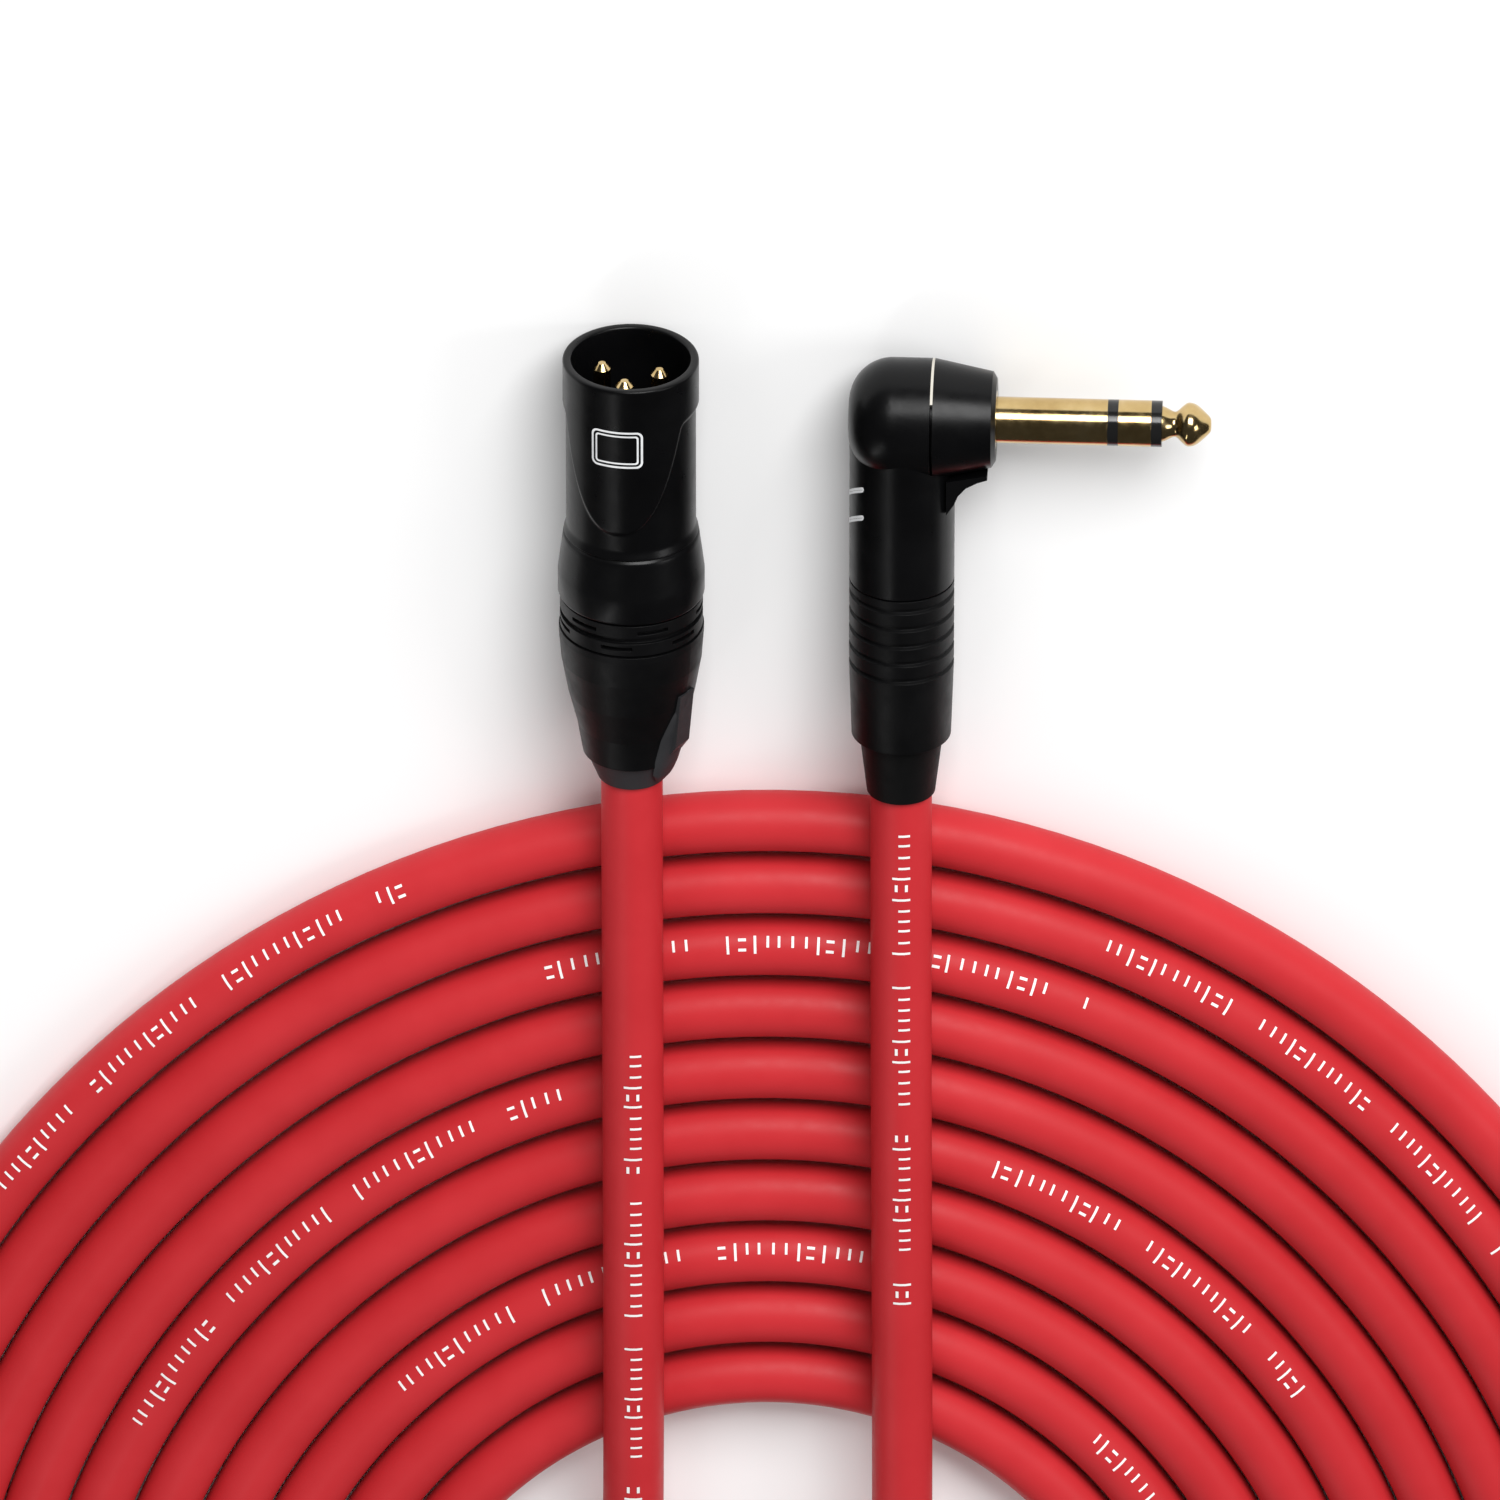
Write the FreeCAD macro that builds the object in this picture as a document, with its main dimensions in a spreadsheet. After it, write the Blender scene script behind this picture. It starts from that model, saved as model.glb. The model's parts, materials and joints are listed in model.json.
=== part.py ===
"""Balanced audio cable, coiled: XLR-3 male plug at one end, right-angle 6.35 mm TRS plug at the other.

Frame: +Z up, the floor at Z = 0, the origin under the middle of the whole object. The coil lies on the
floor on the -Y side. Both leads run over its turns towards +Y and end in the plugs, which lie side by side.

Each plug is drawn in a frame of its own and then placed:
- XLR plug: local Z is its axis, 0 at the mouth and positive towards the cable; local Y is up.
- TRS plug: local X is the contact's axis, positive towards the tip; local Z is the handle's axis,
  positive towards the cable; the two axes cross at the origin; local Y is up.
"""

import FreeCAD, Part
import Sketcher
import math
import os
import re

Vector = FreeCAD.Vector

DIMENSIONS = {
    # whole object
    "cable_radius": 4.25,
    # coil: a flat pancake of ten turns, its hole a little off centre
    "coil_radius": 134.9,
    "coil_middle": -37.3,
    "hole_radius": 43.5,
    "hole_middle": -46.65,
    "coil_height": 8.5,
    "coil_edge": 3.6,
    # where the plugs lie
    "xlr_across": -18.5,
    "xlr_mouth_along": 171.8,
    "xlr_mouth_height": 9.38,
    "xlr_pitch": 2.4,
    "xlr_roll": 12,
    "trs_across": 18.5,
    "trs_elbow_along": 161.4,
    "trs_elbow_height": 8.28,
    "trs_pitch": 3.64,
    "trs_roll": 3,
    # XLR shell
    "shell_radius": 9.3,
    "shell_bore": 8.1,
    "shell_rim": 0.35,
    "insert_seat": 16.2,
    "insert_bore": 8.35,
    "shell_thread_start": 27.6,
    "shell_thread_bore": 8.58,
    "shell_groove": 27.0,
    "shell_groove_depth": 0.3,
    "collar_start": 33.2,
    "collar_radius": 10.05,
    "collar_end": 36.7,
    "latch_start": 3.4,
    "latch_end": 5.6,
    "latch_floor": 8.6,
    # XLR insert and contacts
    "insert_end": 24.6,
    "insert_boss": 6.6,
    "insert_boss_end": 27.4,
    "pin_circle": 4.0,
    "pin_radius": 1.2,
    "pin_tip": 1.3,
    "pin_nose": 0.8,
    "pin_nose_flat": 0.5,
    "cup_start": 27.4,
    "cup_radius": 1.55,
    "cup_bore": 1.05,
    "cup_floor": 28.2,
    "cup_end": 32.0,
    "ground_inner": 6.7,
    "ground_thickness": 0.7,
    "ground_tab_inner": 6.85,
    "ground_tab_width": 2.4,
    "ground_tab_length": 5.0,
    # XLR coding ring
    "coding_start": 37.0,
    "coding_end": 41.7,
    "coding_radius": 9.8,
    "coding_groove_radius": 9.25,
    "coding_groove_half": 0.45,
    "coding_slot_radius": 9.1,
    "coding_slot_half": 0.3,
    "coding_slot_offset": 1.25,
    "coding_slot_angle": 26,
    # XLR chuck
    "chuck_start": 33.5,
    "chuck_radius": 6.7,
    "chuck_taper": 46.5,
    "chuck_end": 49.5,
    "chuck_end_radius": 5.7,
    "chuck_slit": 0.8,
    # XLR bushing and boot
    "spigot_start": 29.6,
    "spigot_radius": 8.5,
    "spigot_bore": 7.1,
    "bushing_start": 42.0,
    "bushing_radius": 9.95,
    "bushing_waist_along": 47.0,
    "bushing_waist": 9.65,
    "bushing_mid_along": 52.2,
    "bushing_mid": 8.75,
    "bushing_low_along": 57.3,
    "bushing_low": 7.5,
    "bushing_end": 62.0,
    "bushing_end_radius": 6.75,
    "bushing_neck_along": 56.0,
    "bushing_neck": 5.2,
    "boot_bore": 4.33,
    "boot_start": 51.0,
    "boot_flange": 6.9,
    "boot_end": 66.2,
    "boot_lip": 4.7,
    "boot_shoulder": 6.35,
    "wing_half": 1.6,
    "wing_root": 4.7,
    "wing_start": 50.2,
    "wing_top": 9.35,
    "wing_low_along": 58.6,
    "wing_low": 8.5,
    "wing_end": 5.6,
    "wing_angle": 55,
    # wires inside the plugs
    "core_radius": 0.75,
    "core_spread": 1.7,
    "drain_radius": 0.6,
    "xlr_jacket_end": 37.0,
    "xlr_straight_to": 99.5,
    "trs_jacket_end": 28.0,
    "trs_straight_to": 84.0,
    # TRS housing
    "head_radius": 8.2,
    "head_back": 7.3,
    "head_rounding": 6.0,
    "head_bore": 6.2,
    "head_bore_back": 3.5,
    "seam_start": 4.0,
    "seam_width": 0.35,
    "seam_arc": 96,
    "handle_radius": 7.2,
    "handle_end": 24.8,
    "handle_bore": 5.7,
    "handle_bore_end": 20.0,
    "handle_spigot": 6.1,
    "handle_spigot_bore": 5.0,
    "handle_spigot_end": 31.0,
    "web_half": 4.5,
    # TRS nose
    "nose_spigot_start": 1.4,
    "nose_bore": 5.4,
    "nose_end": 12.85,
    "nose_taper_end": 12.3,
    "nose_front": 6.6,
    "nose_face": 5.7,
    "flange_start": 6.5,
    "flange_end": 8.0,
    "flange_radius": 5.3,
    # TRS contacts, front to back
    "contact_radius": 3.175,
    "sleeve_end": 28.05,
    "sleeve_bore": 2.35,
    "sleeve_collar": 4.0,
    "ring_start": 29.5,
    "ring_end": 34.0,
    "ring_stem": 1.75,
    "ring_stem_bore": 1.25,
    "ring_stem_start": 0.5,
    "tip_start": 35.45,
    "tip_root": 2.9,
    "tip_waist_along": 37.0,
    "tip_waist": 1.75,
    "tip_bulb_along": 39.2,
    "tip_bulb": 3.0,
    "tip_shoulder_along": 40.4,
    "tip_shoulder": 2.55,
    "tip_end": 42.15,
    "tip_flat": 0.9,
    "rod_radius": 0.8,
    "rod_start": -2.4,
    "rear_tube_start": 5.0,
    "front_tube_start": -1.2,
    "tag_thickness": 0.5,
    "tag_half_width": 1.6,
    "tag_reach": 6.0,
    "tag_overlap": 1.9,
    "ground_strip_height": 4.3,
    "ground_strip_start": -0.5,
    "ground_strip_half": 1.2,
    "ground_washer_start": 6.0,
    # TRS bushing, chuck and boot
    "trs_chuck_start": 26.0,
    "trs_chuck_end": 37.0,
    "nut_start": 25.1,
    "nut_thread_bore": 6.2,
    "nut_thread_end": 32.0,
    "nut_bore": 5.4,
    "nut_grip_end": 38.4,
    "nut_end": 49.4,
    "nut_end_radius": 6.85,
    "nut_groove_first": 26.2,
    "nut_groove_pitch": 2.75,
    "nut_groove_depth": 0.4,
    "nut_groove_width": 0.9,
    "nut_groove_count": 5,
    "trs_boot_start": 40.5,
    "trs_boot_seat": 5.3,
    "trs_boot_shoulder_along": 49.75,
    "trs_boot_shoulder": 5.75,
    "trs_boot_end": 58.6,
    "trs_boot_lip": 4.72,
}

# The free stretch of cable from each plug to the coil, as hand-chosen points (X, Y, Z) of its centre line.
# Each lead leaves its plug along the plug's axis: its first two points come from the plug's place.
XLR_LEAD = (
    (-18.5, -7.6, 12.9),
    (-18.8, -33.6, 8.2),
    (-20.0, -60.6, 4.3),
    (-7.0, -79.5, 4.3),
    (14.0, -86.6, 4.3),
    (34.4, -80.6, 4.3),
)
TRS_LEAD = (
    (-65, -153.2, 6.6),
    (-48.5, -159.4, 10.9),
    (-26, -158.2, 12.9),
    (2.3, -143.0, 13.1),
    (18.7, -115.5, 13.3),
    (18.9, -73.6, 13.2),
    (19.1, -36.6, 11.6),
    (19.0, 4.4, 12.9),
)

document = FreeCAD.newDocument("CoiledCable")
sub_parts = []


def make_sheet():
    """The driving dimensions, one aliased cell each."""
    sheet = document.addObject("Spreadsheet::Sheet", "Dimensions")
    for row, (name, value) in enumerate(DIMENSIONS.items(), start=1):
        sheet.set(f"A{row}", name)
        sheet.set(f"B{row}", str(value))
        sheet.setAlias(f"B{row}", name)
    document.recompute()
    return sheet


sheet = make_sheet()


def size(name):
    """A driving dimension's value, read from its cell."""
    return float(getattr(sheet, name))


def sized(formula):
    """A formula of dimension names as the expression engine wants it."""
    return re.sub(r"[a-z][a-z_]*", r"Dimensions.\g<0>", str(formula))


# ---------------------------------------------------------------- places


def xlr_place():
    """The XLR plug's frame: axis along -Y, its tail raised by the cable, rolled a little about its axis."""
    turn = FreeCAD.Rotation(Vector(1, 0, 0), 90 - size("xlr_pitch"))
    roll = FreeCAD.Rotation(Vector(0, 0, 1), size("xlr_roll"))
    mouth = Vector(size("xlr_across"), size("xlr_mouth_along"), size("xlr_mouth_height"))
    return FreeCAD.Placement(mouth, turn * roll)


def trs_place():
    """The TRS plug's frame: handle along -Y, its tail raised by the cable, the tip rolled up a little."""
    turn = FreeCAD.Rotation(Vector(1, 0, 0), 90 - size("trs_pitch"))
    roll = FreeCAD.Rotation(Vector(0, 0, 1), size("trs_roll"))
    elbow = Vector(size("trs_across"), size("trs_elbow_along"), size("trs_elbow_height"))
    return FreeCAD.Placement(elbow, turn * roll)


def turned_about_axis(place, angle):
    """A plug's frame, turned about its own Z."""
    return place * FreeCAD.Placement(Vector(0, 0, 0), FreeCAD.Rotation(Vector(0, 0, 1), angle))


def shifted(place, across, up):
    """A plug's frame, moved sideways in its own frame."""
    return place * FreeCAD.Placement(Vector(across, up, 0), FreeCAD.Rotation())


# ---------------------------------------------------------------- drawing helpers


def new_body(label, place):
    """An empty body with its own label and place."""
    body = document.addObject("PartDesign::Body", label)
    body.Label = label
    body.Placement = place
    sub_parts.append(body)
    return body


def new_sketch(body, name, plane):
    """A sketch on one of the body's own origin planes."""
    sketch = body.newObject("Sketcher::SketchObject", f"{body.Name}_{name}")
    face = next(f for f in body.Origin.OriginFeatures if f.Role == plane)
    sketch.AttachmentSupport = [(face, "")]
    sketch.MapMode = "FlatFace"
    return sketch


def hold(sketch, line, axis, formula):
    """Ties the start of a line to a formula along one axis, X or Y of the sketch."""
    if formula == 0:
        sketch.addConstraint(Sketcher.Constraint("PointOnObject", line, 1, -2 if axis == "X" else -1))
        return
    label = f"{axis.lower()}{line}"
    tie = sketch.addConstraint(Sketcher.Constraint(f"Distance{axis}", -1, 1, line, 1, 1.0 + line))
    sketch.renameConstraint(tie, label)
    sketch.setExpression(f"Constraints.{label}", sized(formula))


def outline(body, name, points, plane="XZ_Plane"):
    """A closed outline of straight lines through (across, along) formulas."""
    sketch = new_sketch(body, name, plane)
    count = len(points)
    step = 2 * math.pi / count
    ring = [Vector(5 + math.cos(k * step), 5 + math.sin(k * step), 0) for k in range(count)]
    for k in range(count):
        sketch.addGeometry(Part.LineSegment(ring[k], ring[(k + 1) % count]), False)
    for k in range(count):
        sketch.addConstraint(Sketcher.Constraint("Coincident", k, 2, (k + 1) % count, 1))
    for k, (across, along) in enumerate(points):
        hold(sketch, k, "X", across)
        hold(sketch, k, "Y", along)
    return sketch


def circles(body, name, rings, plane="XY_Plane"):
    """A sketch of circles, each (centre across, centre along, radius) as formulas."""
    sketch = new_sketch(body, name, plane)
    for k, (across, along, radius) in enumerate(rings):
        sketch.addGeometry(Part.Circle(Vector(k + 1, 1, 0), Vector(0, 0, 1), 1), False)
        for axis, formula in (("X", across), ("Y", along)):
            if formula == 0:
                sketch.addConstraint(Sketcher.Constraint("PointOnObject", k, 3, -2 if axis == "X" else -1))
            else:
                label = f"centre{axis}{k}"
                tie = sketch.addConstraint(Sketcher.Constraint(f"Distance{axis}", -1, 1, k, 3, 1.0 + k))
                sketch.renameConstraint(tie, label)
                sketch.setExpression(f"Constraints.{label}", sized(formula))
        tie = sketch.addConstraint(Sketcher.Constraint("Radius", k, 1.0 + k))
        sketch.renameConstraint(tie, f"radius{k}")
        sketch.setExpression(f"Constraints.radius{k}", sized(radius))
    return sketch


def revolve(body, name, points, axis="V_Axis", cut=False, angle=360, midplane=False, plane="XZ_Plane"):
    """Adds, or cuts, an outline turned about an axis of its sketch."""
    sketch = outline(body, f"{name}_outline", points, plane)
    kind = "PartDesign::Groove" if cut else "PartDesign::Revolution"
    feature = body.newObject(kind, f"{body.Name}_{name}")
    feature.Profile = sketch
    feature.ReferenceAxis = (sketch, [axis])
    feature.Angle = 360
    if angle != 360:
        feature.setExpression("Angle", sized(angle))
    feature.Midplane = midplane
    return feature


def pad(body, name, sketch, length, midplane=False):
    """Adds a sketch, pushed out by a formula."""
    feature = body.newObject("PartDesign::Pad", f"{body.Name}_{name}")
    feature.Profile = sketch
    feature.setExpression("Length", sized(length))
    feature.Midplane = midplane
    return feature


def pocket(body, name, sketch, length, midplane=False, reverse=False):
    """Cuts a sketch, pushed in by a formula, and makes sure that it removed something."""
    document.recompute()
    before = body.Shape.Volume
    feature = body.newObject("PartDesign::Pocket", f"{body.Name}_{name}")
    feature.Profile = sketch
    feature.setExpression("Length", sized(length))
    feature.Midplane = midplane
    feature.Reversed = reverse
    document.recompute()
    if not body.Shape.Volume < before - 1e-3:
        raise RuntimeError(f"{body.Name}: {name} cuts nothing")
    return feature


def round_edges(body, name, base, radius, wanted):
    """Rounds the edges of a feature for which wanted(edge) is true."""
    document.recompute()
    edges = [f"Edge{k}" for k, edge in enumerate(base.Shape.Edges, start=1) if wanted(edge)]
    feature = body.newObject("PartDesign::Fillet", f"{body.Name}_{name}")
    feature.Base = (base, edges)
    feature.setExpression("Radius", sized(radius))
    return feature


def repeat_round(body, name, features, count):
    """Repeats features evenly about the body's own Z axis."""
    pattern = body.newObject("PartDesign::PolarPattern", f"{body.Name}_{name}")
    pattern.Originals = features
    axis = next(f for f in body.Origin.OriginFeatures if f.Role == "Z_Axis")
    pattern.Axis = (axis, [""])
    pattern.Angle = 360
    pattern.Occurrences = count
    body.Tip = pattern
    return pattern


# ---------------------------------------------------------------- tubes that follow a route


def path_along(points):
    """Straight runs through the points, joined by the largest tangent arcs that the runs allow."""
    edges = []
    radii = []
    here = points[0]
    for before, corner, after in zip(points, points[1:], points[2:]):
        back = before - corner
        ahead = after - corner
        half_turn = (math.pi - back.getAngle(ahead)) / 2
        tangent = 0.45 * min(back.Length, ahead.Length)
        radius = tangent / math.tan(half_turn)
        start = corner + back.normalize() * tangent
        end = corner + ahead.normalize() * tangent
        inward = (back + ahead).normalize()
        middle = corner + inward * (radius / math.cos(half_turn) - radius)
        edges.append(Part.LineSegment(here, start).toShape())
        edges.append(Part.Arc(start, middle, end).toShape())
        radii.append(radius)
        here = end
    edges.append(Part.LineSegment(here, points[-1]).toShape())
    return Part.Wire(edges), radii


def tube(label, points, radius, place):
    """A round tube along a route, in the frame of place."""
    wire, radii = path_along(points)
    start = wire.OrderedVertexes[0].Point
    heading = wire.OrderedEdges[0].tangentAt(wire.OrderedEdges[0].FirstParameter)
    section = Part.Wire([Part.Circle(start, heading, radius).toShape()])
    shape = wire.makePipeShell([section], True, True)
    expected = math.pi * radius**2 * wire.Length
    if abs(shape.Volume - expected) > 0.01 * expected:
        raise RuntimeError(f"{label}: volume {shape.Volume:.0f} where {expected:.0f} is expected")
    feature = document.addObject("Part::Feature", label)
    feature.Label = label
    feature.Shape = shape
    feature.Placement = place
    sub_parts.append(feature)
    print(label, "length", round(wire.Length, 1), "radii", [round(r, 1) for r in radii])
    return feature


# ---------------------------------------------------------------- cable


def make_coil():
    """The coil: its outer shape only, a flat ring with rounded edges."""
    body = new_body("cable_coil", FreeCAD.Placement())
    sketch = circles(
        body, "rings", [(0, "coil_middle", "coil_radius"), (0, "hole_middle", "hole_radius")]
    )
    ring = pad(body, "ring", sketch, "coil_height")
    round_edges(body, "edges", ring, "coil_edge", lambda edge: edge.Closed)


def make_leads():
    """The two free stretches of cable, each from inside its plug to the coil."""
    radius = size("cable_radius")
    for label, place, plug, route in (
        ("lead_xlr", xlr_place(), "xlr", XLR_LEAD),
        ("lead_trs", trs_place(), "trs", reversed(TRS_LEAD)),
    ):
        inside = place.multVec(Vector(0, 0, size(f"{plug}_jacket_end")))
        straight = place.multVec(Vector(0, 0, size(f"{plug}_straight_to")))
        tube(label, [inside, straight, *(Vector(*point) for point in route)], radius, FreeCAD.Placement())


# ---------------------------------------------------------------- XLR plug


def make_xlr_shell():
    """The die-cast shell: round mouth, seat for the insert, threaded rear and flared collar."""
    body = new_body("xlr_shell", xlr_place())
    revolve(
        body,
        "wall",
        [
            ("shell_bore + shell_rim", 0),
            ("shell_radius - shell_rim", 0),
            ("shell_radius", "shell_rim"),
            ("shell_radius", "shell_groove - shell_groove_depth"),
            ("shell_radius - shell_groove_depth", "shell_groove"),
            ("shell_radius", "shell_groove + shell_groove_depth"),
            ("collar_radius", "collar_start"),
            ("collar_radius", "collar_end - shell_rim"),
            ("collar_radius - shell_rim", "collar_end"),
            ("shell_thread_bore", "collar_end"),
            ("shell_thread_bore", "shell_thread_start"),
            ("insert_bore", "shell_thread_start"),
            ("insert_bore", "insert_seat"),
            ("shell_bore", "insert_seat"),
            ("shell_bore", "shell_rim"),
        ],
    )
    revolve(
        body,
        "latch_recess",
        [
            ("-shell_radius - 1", "latch_start"),
            ("-latch_floor", "latch_start"),
            ("-latch_floor", "latch_end"),
            ("-shell_radius - 1", "latch_end"),
        ],
        cut=True,
        angle=21,
        midplane=True,
        plane="YZ_Plane",
    )


def make_xlr_insert():
    """The insulating insert that carries the three pins."""
    body = new_body("xlr_insert", xlr_place())
    revolve(
        body,
        "disc",
        [
            (0, "insert_seat"),
            ("insert_bore", "insert_seat"),
            ("insert_bore", "insert_end"),
            ("insert_boss", "insert_end"),
            ("insert_boss", "insert_boss_end"),
            (0, "insert_boss_end"),
        ],
    )
    holes = circles(
        body,
        "holes",
        [
            ("pin_circle", 0, "pin_radius"),
            ("-pin_circle", 0, "pin_radius"),
            (0, "pin_circle", "pin_radius"),
        ],
    )
    pocket(body, "pin_holes", holes, "insert_boss_end + 1", reverse=True)


def make_xlr_pin(number, across, up):
    """One contact: a pin with a rounded nose in front and a solder cup behind."""
    body = new_body(f"xlr_pin_{number}", shifted(xlr_place(), across, up))
    revolve(
        body,
        "contact",
        [
            (0, "pin_tip"),
            ("pin_nose_flat", "pin_tip"),
            ("pin_radius", "pin_tip + pin_nose"),
            ("pin_radius", "cup_start"),
            ("cup_radius", "cup_start"),
            ("cup_radius", "cup_end"),
            ("cup_bore", "cup_end"),
            ("cup_bore", "cup_floor"),
            (0, "cup_floor"),
        ],
    )


def make_xlr_ground():
    """The sprung ring that earths the shell, with its solder tab."""
    body = new_body("xlr_ground_contact", xlr_place())
    revolve(
        body,
        "ring",
        [
            ("ground_inner", "insert_end"),
            ("insert_bore", "insert_end"),
            ("insert_bore", "insert_end + ground_thickness"),
            ("ground_inner", "insert_end + ground_thickness"),
        ],
    )
    tab = outline(
        body,
        "tab",
        [
            ("-ground_tab_inner - ground_thickness", "insert_end"),
            ("-ground_tab_inner", "insert_end"),
            ("-ground_tab_inner", "insert_end + ground_tab_length"),
            ("-ground_tab_inner - ground_thickness", "insert_end + ground_tab_length"),
        ],
    )
    pad(body, "solder_tab", tab, "ground_tab_width", midplane=True)


def make_xlr_coding_ring():
    """The ring between shell and bushing, with a groove and two staggered rows of slots."""
    body = new_body("xlr_coding_ring", xlr_place())
    middle = "(coding_start + coding_end) / 2"
    revolve(
        body,
        "band",
        [
            ("shell_thread_bore", "coding_start"),
            ("coding_radius", "coding_start"),
            ("coding_radius", f"{middle} - coding_groove_half"),
            ("coding_groove_radius", f"{middle} - coding_groove_half"),
            ("coding_groove_radius", f"{middle} + coding_groove_half"),
            ("coding_radius", f"{middle} + coding_groove_half"),
            ("coding_radius", "coding_end"),
            ("shell_thread_bore", "coding_end"),
        ],
    )
    rows = []
    for name, side, plane in (("front_slot", "-", "XZ_Plane"), ("rear_slot", "+", "YZ_Plane")):
        centre = f"{middle} {side} coding_slot_offset"
        rows.append(
            revolve(
                body,
                name,
                [
                    ("coding_slot_radius", f"{centre} - coding_slot_half"),
                    ("coding_radius + 1", f"{centre} - coding_slot_half"),
                    ("coding_radius + 1", f"{centre} + coding_slot_half"),
                    ("coding_slot_radius", f"{centre} + coding_slot_half"),
                ],
                cut=True,
                angle="coding_slot_angle",
                midplane=True,
                plane=plane,
            )
        )
    repeat_round(body, "slots", rows, 6)


def make_xlr_chuck():
    """The slit collet that clamps the cable."""
    body = new_body("xlr_chuck", xlr_place())
    revolve(
        body,
        "collet",
        [
            ("cable_radius", "chuck_start"),
            ("chuck_radius", "chuck_start"),
            ("chuck_radius", "chuck_taper"),
            ("chuck_end_radius", "chuck_end"),
            ("cable_radius", "chuck_end"),
        ],
    )
    slit = outline(
        body,
        "slit",
        [
            ("cable_radius - 1", "chuck_start + 5"),
            ("chuck_radius + 1", "chuck_start + 5"),
            ("chuck_radius + 1", "chuck_end + 1"),
            ("cable_radius - 1", "chuck_end + 1"),
        ],
    )
    cut = pocket(body, "first_slit", slit, "chuck_slit", midplane=True)
    repeat_round(body, "slits", [cut], 4)


def make_xlr_bushing():
    """The screw-on bushing: spigot in front, tapered grip behind, two slots for the boot's wings."""
    body = new_body("xlr_bushing", turned_about_axis(xlr_place(), wing_turn()))
    revolve(
        body,
        "grip",
        [
            ("spigot_bore", "spigot_start"),
            ("spigot_radius", "spigot_start"),
            ("spigot_radius", "bushing_start"),
            ("bushing_radius", "bushing_start"),
            ("bushing_radius", "bushing_start + 1"),
            ("bushing_waist", "bushing_waist_along"),
            ("bushing_mid", "bushing_mid_along"),
            ("bushing_low", "bushing_low_along"),
            ("bushing_end_radius", "bushing_end"),
            ("bushing_neck", "bushing_end"),
            ("bushing_neck", "bushing_neck_along"),
            ("spigot_bore", "boot_start"),
        ],
    )
    slot = outline(
        body,
        "wing_slot",
        [
            ("wing_root", "wing_start"),
            ("bushing_radius + 1", "wing_start"),
            ("bushing_radius + 1", "bushing_end + 1"),
            ("wing_root", "bushing_end + 1"),
        ],
    )
    cut = pocket(body, "first_slot", slot, "2 * wing_half", midplane=True)
    repeat_round(body, "slots", [cut], 2)


def make_xlr_boot():
    """The rubber boot: sleeve inside the bushing, tapered end and two wings through the bushing's slots."""
    body = new_body("xlr_boot", turned_about_axis(xlr_place(), wing_turn()))
    revolve(
        body,
        "sleeve",
        [
            ("boot_bore", "boot_start"),
            ("boot_flange", "boot_start"),
            ("bushing_neck", "bushing_neck_along"),
            ("bushing_neck", "bushing_end"),
            ("boot_shoulder", "bushing_end"),
            ("boot_lip", "boot_end"),
            ("boot_bore", "boot_end"),
        ],
    )
    wing = outline(
        body,
        "wing",
        [
            ("wing_root", "wing_start"),
            ("wing_top", "wing_start"),
            ("wing_low", "wing_low_along"),
            ("wing_end", "bushing_end + 1"),
            ("wing_root", "bushing_end + 1"),
        ],
    )
    blade = pad(body, "first_wing", wing, "2 * wing_half", midplane=True)
    repeat_round(body, "wings", [blade], 2)


def wing_turn():
    """Where the wings stand about the axis: their plane leans to the right of the pin-3 side."""
    return 90 - size("wing_angle") - size("xlr_roll")


def make_xlr_wires():
    """The two cores and the drain, from the end of the jacket into the solder cups."""
    circle = size("pin_circle")
    spread = size("core_spread")
    cup = size("cup_floor")
    wires = (
        ("xlr_wire_drain", Vector(-1, 0, 0), size("drain_radius")),
        ("xlr_wire_hot", Vector(1, 0, 0), size("core_radius")),
        ("xlr_wire_cold", Vector(0, 1, 0), size("core_radius")),
    )
    for label, side, radius in wires:
        points = [
            side * circle + Vector(0, 0, cup),
            side * circle + Vector(0, 0, size("cup_end") - 0.6),
            side * spread + Vector(0, 0, size("xlr_jacket_end") - 0.9),
            side * spread + Vector(0, 0, size("xlr_jacket_end")),
        ]
        tube(label, points, radius, xlr_place())


def make_xlr_plug():
    """Every piece of the XLR plug."""
    circle = size("pin_circle")
    make_xlr_shell()
    make_xlr_insert()
    for number, across, up in ((1, -circle, 0), (2, circle, 0), (3, 0, circle)):
        make_xlr_pin(number, across, up)
    make_xlr_ground()
    make_xlr_coding_ring()
    make_xlr_chuck()
    make_xlr_bushing()
    make_xlr_boot()
    make_xlr_wires()


# ---------------------------------------------------------------- TRS plug


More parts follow.
